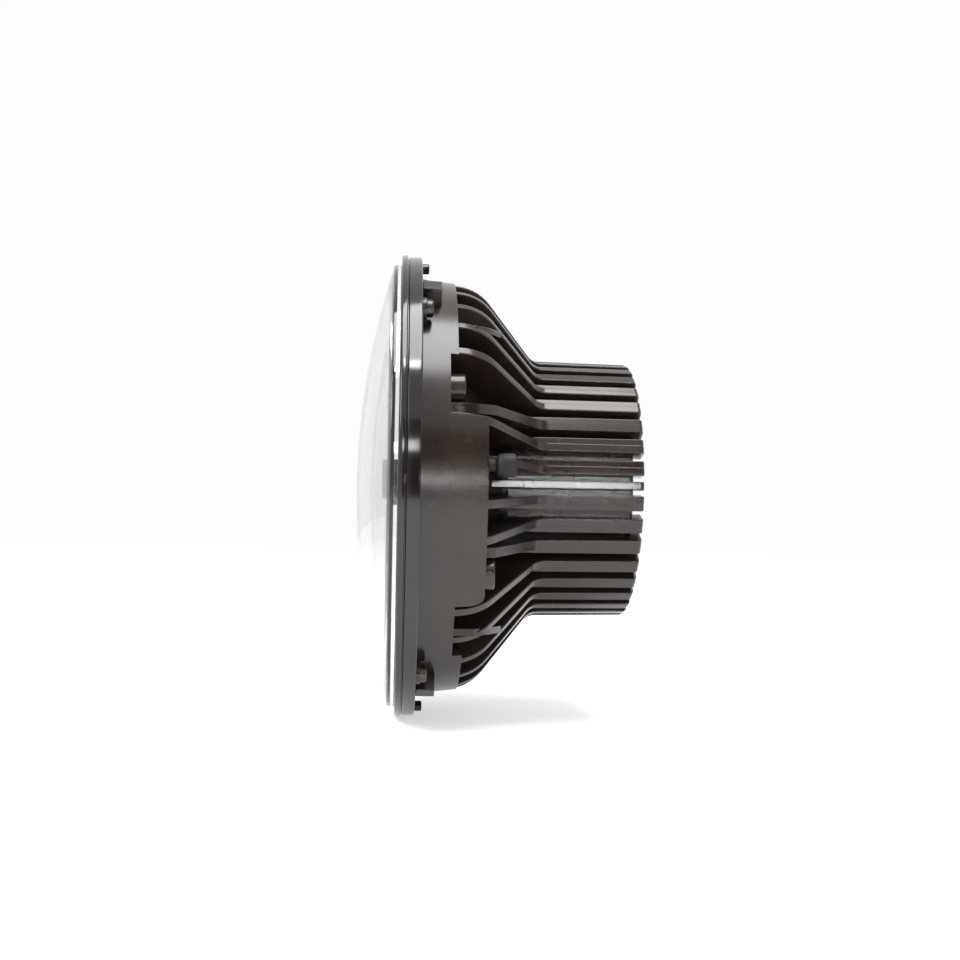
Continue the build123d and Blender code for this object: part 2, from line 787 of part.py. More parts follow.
with BuildPart() as board_screws:
    for face in (1, -1):
        for side in (-1, 1):
            place = (side * board_screw_spacing / 2, board_screw_depth)
            with BuildSketch(Plane.XY.offset(face * board_face)):
                disc(place, screw_radius)
            extrude(amount=-face * (board_thickness + board_screw_length))
            with BuildSketch(Plane.XY.offset(face * board_face)):
                disc(place, screw_head_radius)
            extrude(amount=face * screw_head)
save(board_screws, "board_screws")

# Inner bezel: a funnel on the reflector's flange, with a bar that hides the light source
bezel_foot = reflector_front
with BuildPart() as inner_bezel:
    with BuildSketch(Plane.XY):
        with BuildLine():
            Polyline(
                (bezel_foot_radius, bezel_foot),
                (bezel_foot_outer_radius, bezel_foot),
                (bezel_front_radius, bezel_front),
                (bezel_front_radius - bezel_wall, bezel_front),
                (bezel_foot_outer_radius - bezel_wall, bezel_foot - bezel_wall),
                (bezel_foot_radius, bezel_foot - bezel_wall),
                close=True,
            )
        make_face()
    revolve(axis=Axis.Y)
    with BuildSketch(across(bezel_foot - bezel_wall / 2)):
        Rectangle(2 * bezel_foot_outer_radius, 2 * bar_half_height)
        Circle(bezel_foot_outer_radius - bezel_wall / 2, mode=Mode.INTERSECT)
        Rectangle(2 * bezel_foot_radius, 2 * bar_half_height + bezel_wall, mode=Mode.SUBTRACT)
    extrude(amount=bezel_foot - bezel_wall / 2 - bar_front)
    with BuildSketch(across(bar_front)):
        Rectangle(2 * bezel_foot_outer_radius, 2 * bar_half_height)
        Circle(bezel_foot_outer_radius - bezel_wall / 2, mode=Mode.INTERSECT)
    extrude(amount=-bar_thickness)
    with BuildSketch(across(bezel_foot)):
        for angle in reflector_screw_angles:
            disc(polar(reflector_screw_pitch, angle), screw_head_radius + bezel_screw_room)
            disc(polar(reflector_screw_pitch, -angle), screw_head_radius + bezel_screw_room)
    extrude(amount=screw_head, mode=Mode.SUBTRACT)
save(inner_bezel, "inner_bezel")

# Position light between the bezel and the rim: ring board on the ledge, chips, and the guide over them
ring_board_front = ledge_depth - ring_board_thickness
with BuildPart() as position_light_board:
    with BuildSketch(across(ledge_depth)):
        Circle(guide_outer_radius)
        Circle(guide_inner_radius, mode=Mode.SUBTRACT)
    extrude(amount=ring_board_thickness)
save(position_light_board, "position_light_board")

guide_middle_radius = (guide_inner_radius + guide_outer_radius) / 2
with BuildPart() as position_leds:
    with BuildSketch(across(ring_board_front)):
        with PolarLocations(guide_middle_radius, ring_led_count):
            Rectangle(ring_led_size, ring_led_size)
    extrude(amount=ring_led_height)
save(position_leds, "position_leds")

with BuildPart() as position_light_ring:
    with BuildSketch(across(ring_board_front)):
        Circle(guide_outer_radius)
        Circle(guide_inner_radius, mode=Mode.SUBTRACT)
    extrude(amount=ring_board_front - guide_front)
    with BuildSketch(across(ring_board_front)):
        Circle(guide_middle_radius + guide_groove_width / 2)
        Circle(guide_middle_radius - guide_groove_width / 2, mode=Mode.SUBTRACT)
    extrude(amount=guide_groove_depth, mode=Mode.SUBTRACT)
save(position_light_ring, "position_light_ring")

# Driver board and what stands on its front
with BuildPart() as driver_board:
    with BuildSketch(across(driver_front)):
        Circle(driver_radius)
        for angle in driver_post_angles:
            disc(polar(driver_post_pitch, angle), screw_radius, Mode.SUBTRACT)
    extrude(amount=-driver_thickness)
save(driver_board, "driver_board")

with BuildPart() as driver_screws:
    for angle in driver_post_angles:
        place = polar(driver_post_pitch, angle)
        with BuildSketch(across(driver_front)):
            disc(place, screw_radius)
        extrude(amount=-(driver_thickness + screw_bite))
        with BuildSketch(across(driver_front)):
            disc(place, screw_head_radius)
        extrude(amount=screw_head)
save(driver_screws, "driver_screws")

with BuildPart() as driver_components:
    with BuildSketch(across(driver_front)):
        for side in (-1, 1):
            disc((side * capacitor_spacing / 2, coil_drop / 2), capacitor_radius)
    extrude(amount=capacitor_height)
    with BuildSketch(across(driver_front)):
        disc((0, -coil_drop), coil_radius)
        disc((0, -coil_drop), coil_bore, Mode.SUBTRACT)
    extrude(amount=coil_height)
    with BuildSketch(across(driver_front)):
        with Locations((0, coil_drop)):
            Rectangle(chip_size, chip_size)
    extrude(amount=chip_height)
save(driver_components, "driver_components")

# Grommet in the outlet, with a barb inside and a flange outside
outlet_rear = core_rear + outlet_hub_height
with BuildPart() as cable_grommet:
    with BuildSketch(Plane.XY) as grommet_section:
        with BuildLine():
            Polyline(
                (grommet_bore, driver_bay_rear - grommet_barb),
                (outlet_radius - press_clearance, driver_bay_rear - grommet_barb),
                (grommet_barb_radius, driver_bay_rear - press_clearance),
                (outlet_radius - press_clearance, driver_bay_rear - press_clearance),
                (outlet_radius - press_clearance, outlet_rear),
                (grommet_flange_radius, outlet_rear),
                (grommet_flange_radius, outlet_rear + grommet_flange),
                (grommet_bore, outlet_rear + grommet_flange),
                close=True,
            )
        make_face()
        flange_end = (grommet_flange_radius, outlet_rear + grommet_flange)
        chamfer(grommet_section.vertices().sort_by_distance(flange_end)[0], grommet_bevel)
    revolve(axis=Axis.Y)
save(cable_grommet, "cable_grommet")
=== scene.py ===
import math

import bmesh
import bpy
from bpy.props import FloatProperty, IntProperty, PointerProperty, StringProperty
from mathutils import Matrix, Vector


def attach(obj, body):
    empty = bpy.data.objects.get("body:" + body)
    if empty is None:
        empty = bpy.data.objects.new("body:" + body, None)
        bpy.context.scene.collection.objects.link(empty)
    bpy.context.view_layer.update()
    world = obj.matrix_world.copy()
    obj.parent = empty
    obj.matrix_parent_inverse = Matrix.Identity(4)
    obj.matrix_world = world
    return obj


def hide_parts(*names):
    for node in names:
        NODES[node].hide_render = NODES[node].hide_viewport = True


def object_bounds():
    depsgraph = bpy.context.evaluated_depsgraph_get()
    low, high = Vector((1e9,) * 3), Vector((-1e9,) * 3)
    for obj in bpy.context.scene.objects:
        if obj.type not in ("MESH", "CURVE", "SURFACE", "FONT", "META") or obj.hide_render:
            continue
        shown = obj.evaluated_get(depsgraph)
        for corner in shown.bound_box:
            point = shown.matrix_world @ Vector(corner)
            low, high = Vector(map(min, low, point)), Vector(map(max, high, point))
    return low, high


bl_info = {
    "name": "Round headlight insert",
    "version": (1, 0, 0),
    "blender": (4, 5, 0),
    "location": "3D View > Sidebar > Headlight",
    "description": "Dresses the CAD model of a round LED headlight insert",
    "category": "Object",
}

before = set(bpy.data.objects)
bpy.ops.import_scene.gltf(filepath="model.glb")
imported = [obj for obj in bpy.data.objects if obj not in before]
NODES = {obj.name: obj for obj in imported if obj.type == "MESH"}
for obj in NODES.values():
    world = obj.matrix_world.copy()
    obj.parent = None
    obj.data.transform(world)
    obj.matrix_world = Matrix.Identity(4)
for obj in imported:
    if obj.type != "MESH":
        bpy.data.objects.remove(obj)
CAD_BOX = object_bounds()
MM = 0.001

# Points closer than WELD become one, and millimetre sizes within TOLERANCE count as the same
WELD = 0.0005 * MM
TOLERANCE = 0.01

# Edges above BEVEL_ANGLE are rounded, and those above SHARP_ANGLE are shaded sharp, both in degrees
BEVEL_ANGLE = 24.0
BEVEL_SEGMENTS = 3
SHARP_ANGLE = 40.0

# Faces round the small turned forms
BOSS_STEPS = 48
POST_STEPS = 40
PLUG_STEPS = 64

# Sizes of the casting in millimetres. Depths run along +Y from the rim's rear face
SKIRT_FRONT = 80.0
SKIRT_TAPER = 0.112
SKIRT_INNER = 75.6
SKIRT_BORE = 76.5
SKIRT_DEPTH = 12.5
PANEL_DEPTH = 22.5
PANEL_HIGH = 16.2
PANEL_LOW = -33.1
PANEL_CORNER_ANGLE = 2.4
PANEL_CORNER_DEPTH = 5.4
PANEL_CORNER_MARKS = (0.03, 0.12, 0.3, 0.6, 1.0)
SKIRT_STEP = 2
CLOSEST_STEP = 0.7
WINDOW_HIGH = 33.5
WINDOW_FLOOR = 9.7
LOWER_SKIRT_DEPTH = 16.0
LOWER_SKIRT_ANGLE = -51.0
LEDGE_DEPTH = 1.0
LEDGE_STEP = 0.5
LEDGE_RADIUS = 74.5
BOWL_OVERLAP = 0.5
BOWL_FLOOR_RADIUS = 42.0
BOWL_FLOOR_DEPTH = 26.0
BOWL_WALL = 4.2
CORE_RADIUS = 43.0
CORE_REAR = 77.5
CORE_FOOT_ROUND = 4.0
CORE_REAR_ROUND = 1.0
CHAMBER_RADIUS = 38.0
CHAMBER_STEP = 41.0
BAY_RADIUS = 29.0
BAY_REAR = 72.5
OUTLET_RADIUS = 5.0
HUB_RADIUS = 13.0
HUB_HEIGHT = 1.2
HUB_FOOT_ROUND = 0.5
HUB_ROUND = 0.4

# Fins and ribs. In the solids FIN_CORNER is a 1.2 mm chamfer and NARROW_FIN is 2.1 mm
FINS_PER_QUARTER = 9
FIRST_FIN_EDGE = 4.4
FIN_WIDTH = 5.36
FIN_RADIUS = 49.3
FIN_END_RADIUS = 48.7
FIN_REAR = 80.5
FIN_CORNER = 1.4
NARROW_FIN = 3.1
RIB_THICKNESS = 3.0
RIB_RADIUS = 49.7
RIB_END_RADIUS = 49.05
RIB_SHOULDER = (78.1, 20.5)
RIB_SHOULDER_ROUND = 18.0
RIB_FOOT_DEPTH = 43.1
RIB_FOOT_ROUND = 6.3
BENT_RIB = 2
BENT_HEIGHT = 24.2
BENT_REACH = 67.0
BENT_THICKNESS = 3.4
BENT_RUN_OUT = 20.0
WEB_RIBS = (4, 5)
WEB_THICKNESS = 2.4
UPPER_WEB = 54.0
LOWER_WEB = 52.2
WEB_SET_IN = 0.3
WEB_STEPS = 8

# Bosses, ears and lugs
BOSS_RADIUS = 5.5
BOSS_PITCH = 70.6
BOSS_ANGLE = 26.5
UPPER_BOSS_REAR = 15.0
LOWER_BOSS_REAR = 25.9
BOSS_HOLE = 2.1
BOSS_HOLE_DEPTH = 8.0
BOSS_ROUND = 0.7
STOP_RADIUS = 3.1
STOP_PITCH = 72.3
STOP_ANGLE = -47.0
STOP_REAR = 16.2
STOP_ROUND = 0.6
EAR_RADIUS = 3.7
EAR_THICKNESS = 1.5
EAR_PITCH = 84.0
EAR_ANGLES = (45.5, 134.5, -53.0, -127.0)
LUG_ANGLES = (54.5, 125.5, -61.0, -119.0)
LUG_WIDTH = 6.2
LUG_DEPTH = 6.8
LUG_RADIUS = 86.0
LUG_WALL = 1.5
LUG_FLOOR = 2.2
PLUG_ANGLE = 4.2
PLUG_PITCH = 72.4
PLUG_BOSS_RADIUS = 4.5
PLUG_BOSS_REAR = 21.5
PLUG_BORE = 1.5
PLUG_BOSS_ROUND = 0.5
PLUG_ROOM = 4.8
PLUG_ROOM_DEPTH = 23.5

# Rim, lens and plug
RIM_RADIUS = 88.1
RIM_LIP_RADIUS = 88.8
RIM_THICKNESS = 7.5
RIM_LIP = 2.3
RIM_INNER = 77.0
RIM_INNER_ROUND = 0.3
RIM_REAR_ROUND = 0.6
LIP_FRONT_ROUND = 0.7
LIP_REAR_ROUND = 0.45
RELIEF_DEPTH = 0.6
RELIEF_WIDTH = 0.4
RELIEF_ROUND = 0.1
RELIEF_EDGE_ROUND = 0.35
GROOVE_ROOM = 0.3
GROOVE_FLOOR_ROOM = 1.0
GROOVE_ROUND = 0.2
GASKET_RADII = (77.6, 79.2)
GASKET_DEPTH = 1.2
POST_RADIUS = 2.0
POST_HEIGHT = 3.2
POST_PITCH = 85.4
POST_ROUND = 0.5
POST_SUNK = 0.5
LENS_RADIUS = 85.0
LENS_EDGE = 2.8
LENS_RISE = 13.2
LENS_WALL = 3.0
LENS_FRONT_ROUND = 0.7
LENS_SEAT_ROUND = 0.3
DOME_STEPS = 24
TONGUE_INNER = 79.3
TONGUE_WIDTH = 2.0
TONGUE_LENGTH = 3.0
TONGUE_ROUND = 0.2
STEM_RADIUS = 1.45
STEM_LENGTH = 5.0
STEM_ROUND = 0.3
NECK_RADIUS = 2.2
NECK_LENGTH = 4.4
NECK_FLARE = 0.8
NECK_ROUND = 0.4
HEAD_RADIUS = 4.1
HEAD_LENGTH = 6.4
HEAD_SHOULDER = 0.5
HEAD_SHOULDER_LENGTH = 2.0
HEAD_SHOULDER_ROUND = 0.6
HEAD_EDGE_ROUND = 0.5
HEAD_REAR_ROUND = 1.3

BOWL_SLOPE = (BOWL_FLOOR_DEPTH - LEDGE_DEPTH) / (LEDGE_RADIUS - BOWL_FLOOR_RADIUS)
BOWL_DROP = BOWL_WALL * math.hypot(1, BOWL_SLOPE)
HALF_FIN = math.degrees(math.asin(FIN_WIDTH / 2 / RIB_RADIUS))
HALF_RIB = math.degrees(math.asin(RIB_THICKNESS / 2 / RIB_RADIUS))
FIN_PITCH = (180.0 - 2 * FIRST_FIN_EDGE - 2 * HALF_FIN) / (2 * FINS_PER_QUARTER - 1)
RIB_ANGLES = [FIRST_FIN_EDGE + HALF_RIB + FIN_PITCH * k for k in range(FINS_PER_QUARTER)]
QUARTERS = ((1, 1), (1, -1), (-1, 1), (-1, -1))

# Corners of one face of a grid cell, in order round it
SQUARE = ((0, 0), (1, 0), (1, 1), (0, 1))


class HeadlightSizes(bpy.types.PropertyGroup):
    """Rounding, steps and coat of the dressed pieces, and the camera's distance."""

    cast_round: FloatProperty(
        name="Cast edge round", description="Rounding on the casting's edges",
        default=0.4 * MM, unit="LENGTH")
    lathe_steps: IntProperty(
        name="Lathe steps", description="Faces round the rim and the lens", default=288)
    coat_grain: FloatProperty(
        name="Coat grain", description="Grain of the powder coat, drawn twice as coarse as real to show",
        default=0.5 * MM, unit="LENGTH")
    coat_flow: FloatProperty(
        name="Coat flow", description="Width of the soft waves in the powder coat",
        default=9.0 * MM, unit="LENGTH")
    camera_distance: FloatProperty(
        name="Camera distance", description="From the lamp's axis to the camera",
        default=502.9 * MM, unit="LENGTH")


class HeadlightColours(bpy.types.PropertyGroup):
    """Colours of the finishes, as sRGB hex values."""

    coat: StringProperty(name="Powder coat", description="Black coat of the casting", default="#201914")
    coat_worn: StringProperty(
        name="Powder coat, thin", description="Coat where it lies thinner", default="#2b221c")
    rim: StringProperty(name="Rim", description="Gloss black moulding", default="#120f0d")
    rubber: StringProperty(name="Rubber", description="Seals, plug and grommet", default="#141210")
    screw: StringProperty(name="Screws", description="Black zinc on steel", default="#3a3836")
    backdrop: StringProperty(name="Backdrop", description="Floor and wall of the studio", default="#fdfdfd")


def linear(hex_colour):
    """sRGB hex value as a linear RGBA colour."""
    value = hex_colour.lstrip("#")
    parts = [int(value[i:i + 2], 16) / 255 for i in (0, 2, 4)]
    return [p / 12.92 if p <= 0.04045 else ((p + 0.055) / 1.055) ** 2.4 for p in parts] + [1.0]


def node(tree, kind, links=(), **settings):
    """Adds one node with its settings, and its links as (output, own input) pairs."""
    made = tree.nodes.new(kind)
    for name, value in settings.items():
        if name in made.inputs:
            made.inputs[name].default_value = value
        else:
            setattr(made, name, value)
    for source, target in links:
        tree.links.new(source, made.inputs[target])
    return made


def finish(name, base, tone, grain, roughness, relief=0.0, metallic=0.0,
           pattern="ShaderNodeTexNoise", **sockets):
    """A finish whose colour, roughness and relief follow one pattern. Grain and relief are in millimetres."""
    made = bpy.data.materials.new(name)
    made.use_nodes = True
    made.diffuse_color = linear(base)
    tree = made.node_tree
    shader = tree.nodes["Principled BSDF"]
    shader.inputs["Metallic"].default_value = metallic
    for socket, value in sockets.items():
        shader.inputs[socket.replace("_", " ")].default_value = value
    place = node(tree, "ShaderNodeTexCoord").outputs["Object"]
    figure = node(tree, pattern, [(place, "Vector")], Scale=1.0 / (grain * MM)).outputs[0]
    shades = node(tree, "ShaderNodeValToRGB", [(figure, "Fac")])
    shades.color_ramp.elements[0].color = linear(base)
    shades.color_ramp.elements[1].color = linear(tone)
    rough = node(tree, "ShaderNodeMapRange", [(figure, "Value")],
                 **{"To Min": roughness[0], "To Max": roughness[1]})
    height = node(tree, "ShaderNodeBump", [(figure, "Height")], Distance=relief * MM)
    tree.links.new(shades.outputs["Color"], shader.inputs["Base Color"])
    tree.links.new(rough.outputs["Result"], shader.inputs["Roughness"])
    tree.links.new(height.outputs["Normal"], shader.inputs["Normal"])
    return made


def bowl_middle(radius):
    """Depth of the middle of the bowl's wall."""
    return LEDGE_DEPTH + (LEDGE_RADIUS - radius) * BOWL_SLOPE + BOWL_DROP / 2


def bowl_outside(radius):
    """Depth of the bowl's outer cone."""
    return bowl_middle(radius) + BOWL_DROP / 2


def polar(radius, angle):
    """Point in a plane square to the axis."""
    return radius * math.cos(math.radians(angle)), radius * math.sin(math.radians(angle))


def rounded(points, steps=6):
    """Closed outline of (x, y, round) points as plain points, with an arc at each rounded corner."""
    outline = []
    for i, (x, y, radius) in enumerate(points):
        here = Vector((x, y))
        if radius <= 0:
            outline.append((x, y))
            continue
        back = (Vector(points[i - 1][:2]) - here).normalized()
        on = (Vector(points[(i + 1) % len(points)][:2]) - here).normalized()
        half = back.angle(on) / 2
        centre = here + (back + on).normalized() * radius / math.sin(half)
        start = here + back * radius / math.tan(half) - centre
        swing = math.pi - 2 * half
        side = 1 if back.x * on.y - back.y * on.x < 0 else -1
        for step in range(steps + 1):
            turn = side * swing * step / steps
            arm = Vector((start.x * math.cos(turn) - start.y * math.sin(turn),
                          start.x * math.sin(turn) + start.y * math.cos(turn)))
            outline.append(tuple(centre + arm))
    return outline


def turned(form, outline, steps, centre=(0.0, 0.0)):
    """Adds an outline of (radius, depth) points turned about the lamp's axis, or about a line beside it."""
    rings = []
    for i in range(steps):
        turn = 2 * math.pi * i / steps
        cosine, sine = math.cos(turn), math.sin(turn)
        rings.append([
            form.verts.new(((centre[0] + r * cosine) * MM, y * MM, (centre[1] + r * sine) * MM))
            for r, y in outline])
    for i in range(steps):
        for j in range(len(outline)):
            k = (j + 1) % len(outline)
            form.faces.new((rings[i - 1][j], rings[i - 1][k], rings[i][k], rings[i][j]))


def soften(work, width):
    """Rounds every sharp edge of a closed form, by a width in the form's own units."""
    sharp = [edge for edge in work.edges
             if len(edge.link_faces) == 2 and edge.calc_face_angle() > math.radians(BEVEL_ANGLE)]
    bmesh.ops.bevel(work, geom=sharp, offset=width, offset_type="OFFSET", segments=BEVEL_SEGMENTS,
                    profile=0.5, affect="EDGES", clamp_overlap=True)


def poured(form, work):
    """Moves a finished form into the casting."""
    bmesh.ops.recalc_face_normals(work, faces=work.faces)
    sheet = bpy.data.meshes.new("poured")
    work.to_mesh(sheet)
    work.free()
    form.from_mesh(sheet)
    bpy.data.meshes.remove(sheet)


def turned_boss(form, outline, steps, centre):
    """Pours an outline of (radius, depth) points, turned about a line beside the axis, into the casting."""
    work = bmesh.new()
    turned(work, outline, steps, centre)
    bmesh.ops.remove_doubles(work, verts=work.verts, dist=WELD)
    poured(form, work)


def closed_up(form):
    """Joins the points that meet on the axis, and turns every face outward."""
    bmesh.ops.remove_doubles(form, verts=form.verts, dist=WELD)
    bmesh.ops.recalc_face_normals(form, faces=form.faces)


def plate(form, outline, start, end, place, width, bends=()):
    """Adds a plate: an outline of (reach, depth) points, between two offsets, put in place by a function."""
    work = bmesh.new()
    sides = [[work.verts.new((s, t, y)) for s, y in outline] for t in (start, end)]
    work.faces.new(sides[0])
    work.faces.new(list(reversed(sides[1])))
    for j in range(len(outline)):
        work.faces.new((sides[0][j - 1], sides[1][j - 1], sides[1][j], sides[0][j]))
    for bend in bends:
        everything = work.verts[:] + work.edges[:] + work.faces[:]
        bmesh.ops.bisect_plane(work, geom=everything, plane_co=(bend, 0, 0), plane_no=(1, 0, 0))
    bmesh.ops.recalc_face_normals(work, faces=work.faces)
    soften(work, width)
    for point in work.verts:
        x, z = place(point.co.x, point.co.y)
        point.co = (x * MM, point.co.z * MM, z * MM)
    poured(form, work)


def cells(form, first, second, third, kept, place, width, closed=False):
    """Adds a solid made of the kept cells of a grid, with its edges rounded."""
    work = bmesh.new()
    made = {}

    def corner(i, j, k):
        key = (i % len(first) if closed else i, j, k)
        if key not in made:
            made[key] = work.verts.new(Vector(place(first[key[0]], second[j], third[k])) * MM)
        return made[key]

    spans = len(first) if closed else len(first) - 1

    def filled(i, j, k):
        if closed:
            i %= spans
        inside = 0 <= i < spans and 0 <= j < len(second) - 1 and 0 <= k < len(third) - 1
        return inside and kept(i, j, k)

    for i in range(spans):
        for j in range(len(second) - 1):
            for k in range(len(third) - 1):
                if not filled(i, j, k):
                    continue
                for side in (0, 1):
                    beyond = 2 * side - 1
                    if not filled(i + beyond, j, k):
                        work.faces.new([corner(i + side, j + b, k + c) for b, c in SQUARE])
                    if not filled(i, j + beyond, k):
                        work.faces.new([corner(i + a, j + side, k + c) for a, c in SQUARE])
                    if not filled(i, j, k + beyond):
                        work.faces.new([corner(i + a, j + b, k + side) for a, b in SQUARE])
    bmesh.ops.recalc_face_normals(work, faces=work.faces)
    soften(work, width)
    poured(form, work)


def finished(name, form, made, replaced):
    """Turns a form into a piece that rides on the lamp and stands for the CAD nodes that it replaces."""
    bmesh.ops.remove_doubles(form, verts=form.verts, dist=WELD)
    sheet = bpy.data.meshes.new(name)
    form.to_mesh(sheet)
    form.free()
    sheet.materials.append(made)
    for face in sheet.polygons:
        face.use_smooth = True
    sheet.set_sharp_from_angle(angle=math.radians(SHARP_ANGLE))
    piece = bpy.data.objects.new(name, sheet)
    bpy.context.scene.collection.objects.link(piece)
    flat = piece.modifiers.new("flat_faces", "WEIGHTED_NORMAL")
    flat.keep_sharp = True
    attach(piece, "root")
    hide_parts(*replaced)


def dress(names, made):
    """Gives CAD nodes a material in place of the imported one."""
    for name in names:
        NODES[name].data.materials.clear()
        NODES[name].data.materials.append(made)


def cast_coat(colours, sizes):
    """Black polyester powder coat on cast aluminium: satin, with fine grain and soft waves in its glare."""
    made = finish("Powder coated cast aluminium", colours.coat, colours.coat_worn,
                  grain=sizes.coat_flow / MM, roughness=(0.18, 0.25), relief=0.04, IOR=1.5)
    tree = made.node_tree
    waves = tree.nodes["Bump"]
    place = tree.nodes["Texture Coordinate"].outputs["Object"]
    grain = node(tree, "ShaderNodeTexNoise", [(place, "Vector")], Scale=1.0 / sizes.coat_grain, Detail=1.0)
    fine = node(tree, "ShaderNodeBump", [(grain.outputs["Fac"], "Height")], Strength=0.3, Distance=0.03 * MM)
    tree.links.new(fine.outputs["Normal"], waves.inputs["Normal"])
    return made


def near_side(angle):
    """The angle itself, or its mirror image where it lies on the far side."""
    return math.copysign(180 - abs(angle), angle) if abs(angle) > 90 else angle


def skirt_rear(angle):
    """How deep the skirt reaches at an angle."""
    fold = near_side(angle)
    if fold < LOWER_SKIRT_ANGLE:
        return LOWER_SKIRT_DEPTH
    if PANEL_LOW < fold < PANEL_HIGH:
        return PANEL_DEPTH
    if PANEL_HIGH < fold < WINDOW_HIGH:
        return WINDOW_FLOOR
    return SKIRT_DEPTH


def skirt_point(angle, depth, layer):
    """Corner of the skirt's grid, with the panel's lower corner swept round."""
    fold = near_side(angle)
    past = (PANEL_LOW + PANEL_CORNER_ANGLE - fold) / PANEL_CORNER_ANGLE
    if depth == PANEL_DEPTH and 0 < past < 1 + TOLERANCE:
        depth -= PANEL_CORNER_DEPTH * (1 - math.sqrt(max(0.0, 1 - past**2)))
    inner = SKIRT_BORE if depth <= LEDGE_DEPTH else SKIRT_INNER
    radius = SKIRT_FRONT - SKIRT_TAPER * depth if layer else inner
    x, z = polar(radius, angle)
    return x, depth, z


def skirt(form, width):
    """The skirt, with its panels and windows."""
    marks = [LOWER_SKIRT_ANGLE, PANEL_LOW, PANEL_HIGH, WINDOW_HIGH]
    marks += [PANEL_LOW + PANEL_CORNER_ANGLE * share for share in PANEL_CORNER_MARKS]
    marks += [math.copysign(180, mark) - mark for mark in marks]
    even = [a for a in range(-180, 180, SKIRT_STEP) if min(abs(a - m) for m in marks) > CLOSEST_STEP]
    angles = sorted(marks + even)
    depths = [0.0, LEDGE_DEPTH, LEDGE_DEPTH + LEDGE_STEP, WINDOW_FLOOR, SKIRT_DEPTH, LOWER_SKIRT_DEPTH,
              PANEL_DEPTH]

    def kept(i, j, k):
        after = angles[(i + 1) % len(angles)]
        middle = (angles[i] + (after if after > angles[i] else after + 360)) / 2
        return depths[j + 1] <= skirt_rear(middle) + TOLERANCE

    cells(form, angles, depths, (0, 1), kept, skirt_point, width, closed=True)


def rib_outline():
    """Outline of a rib in radius and depth."""
    root = CORE_RADIUS - RIB_THICKNESS / 2
    return rounded([
        (root, bowl_middle(root), 0),
        (RIB_SHOULDER[0], bowl_middle(RIB_SHOULDER[0]), 0),
        (*RIB_SHOULDER, RIB_SHOULDER_ROUND),
        (RIB_RADIUS, RIB_FOOT_DEPTH, RIB_FOOT_ROUND),
        (RIB_END_RADIUS, FIN_REAR, FIN_CORNER),
        (root, FIN_REAR, 0)], steps=8)


def plug_rib_outline():
    """Outline of the rib beside the vent plug, with a step cut in it for the plug's neck and head."""
    inner = PLUG_PITCH - PLUG_ROOM
    whole = rib_outline()
    # The first point is the rib's root, which lies deeper than the plug's boss and isn't meant
    first = next(i for i, (s, y) in enumerate(whole) if i > 0 and y > PLUG_BOSS_REAR)
    last = next(i for i, (s, y) in enumerate(whole) if i > first and s < inner)
    (s0, y0), (s1, y1) = whole[last - 1], whole[last]
    notch = [(PLUG_PITCH + NECK_RADIUS, PLUG_BOSS_REAR), (PLUG_PITCH - NECK_RADIUS, PLUG_BOSS_REAR),
             (PLUG_PITCH - NECK_RADIUS, PLUG_ROOM_DEPTH), (inner, PLUG_ROOM_DEPTH),
             (inner, y0 + (y1 - y0) * (inner - s0) / (s1 - s0))]
    return whole[:first] + notch + whole[last:]


def fin_outline():
    """Outline of the shelf beside a rib, and of a narrow fin."""
    root = CORE_RADIUS - RIB_THICKNESS
    return rounded([
        (root, bowl_middle(root), 0),
        (FIN_RADIUS, bowl_middle(FIN_RADIUS), 0),
        (FIN_END_RADIUS, FIN_REAR, FIN_CORNER),
        (root, FIN_REAR, 0)])


def radial_place(angle, mirror):
    """Puts (reach, offset) along a straight radial line, in one of the four quarters."""
    cosine, sine = polar(1.0, angle)
    return lambda s, t: (mirror[0] * (s * cosine - t * sine), mirror[1] * (s * sine + t * cosine))


def outward_place(angle):
    """Puts (reach, offset, depth) along a radial line."""
    cosine, sine = polar(1.0, angle)
    return lambda s, t, y: (s * cosine - t * sine, y, s * sine + t * cosine)


def bent_place(mirror):
    """Puts (reach, offset) along the bent rib, which turns off its radial line so as to pass the boss."""
    angle = RIB_ANGLES[BENT_RIB]
    foot = Vector(polar(RIB_RADIUS, angle))
    bend = Vector((BENT_REACH, BENT_HEIGHT))
    path = [foot / 2, foot, bend, bend + Vector((BENT_RUN_OUT, 0.0))]
    legs = [(b - a).normalized() for a, b in zip(path, path[1:])]
    reach = [point.length for point in path]

    def place(s, t):
        leg = sum(s >= bend_reach - TOLERANCE for bend_reach in reach[1:3])
        along = legs[leg].dot(path[leg])
        run = -along + math.sqrt(max(0.0, along**2 - reach[leg]**2 + s**2))
        spot = path[leg] + legs[leg] * run
        side = Vector((-legs[leg].y, legs[leg].x))
        if leg and abs(s - reach[leg]) < TOLERANCE:
            before = Vector((-legs[leg - 1].y, legs[leg - 1].x))
            side = (side + before) / (1 + side.dot(before))
        return mirror[0] * (spot.x + side.x * t), mirror[1] * (spot.y + side.y * t)

    return place, reach[1:3]


def web(form, height, start, end, width):
    """A level web between ribs, in both upper or lower quarters. It follows the ribs' outline."""
    edge = sorted(point for point in rib_outline() if point[0] > RIB_RADIUS)

    def depth(radius):
        for (r0, y0), (r1, y1) in zip(edge, edge[1:]):
            if r0 <= radius <= r1:
                return y0 + (y1 - y0) * (radius - r0) / max(r1 - r0, 1e-6)
        return edge[-1][1]

    reach = [start + (end - start) * i / WEB_STEPS for i in range(WEB_STEPS + 1)]
    rear = [(s, depth(math.hypot(s, height)) - WEB_SET_IN) for s in reversed(reach)]
    front = [(s, bowl_middle(math.hypot(s, height))) for s in reach]
    for side in (1, -1):
        plate(form, front + rear, -WEB_THICKNESS / 2, WEB_THICKNESS / 2,
              lambda s, t: (side * s, height + t), width)


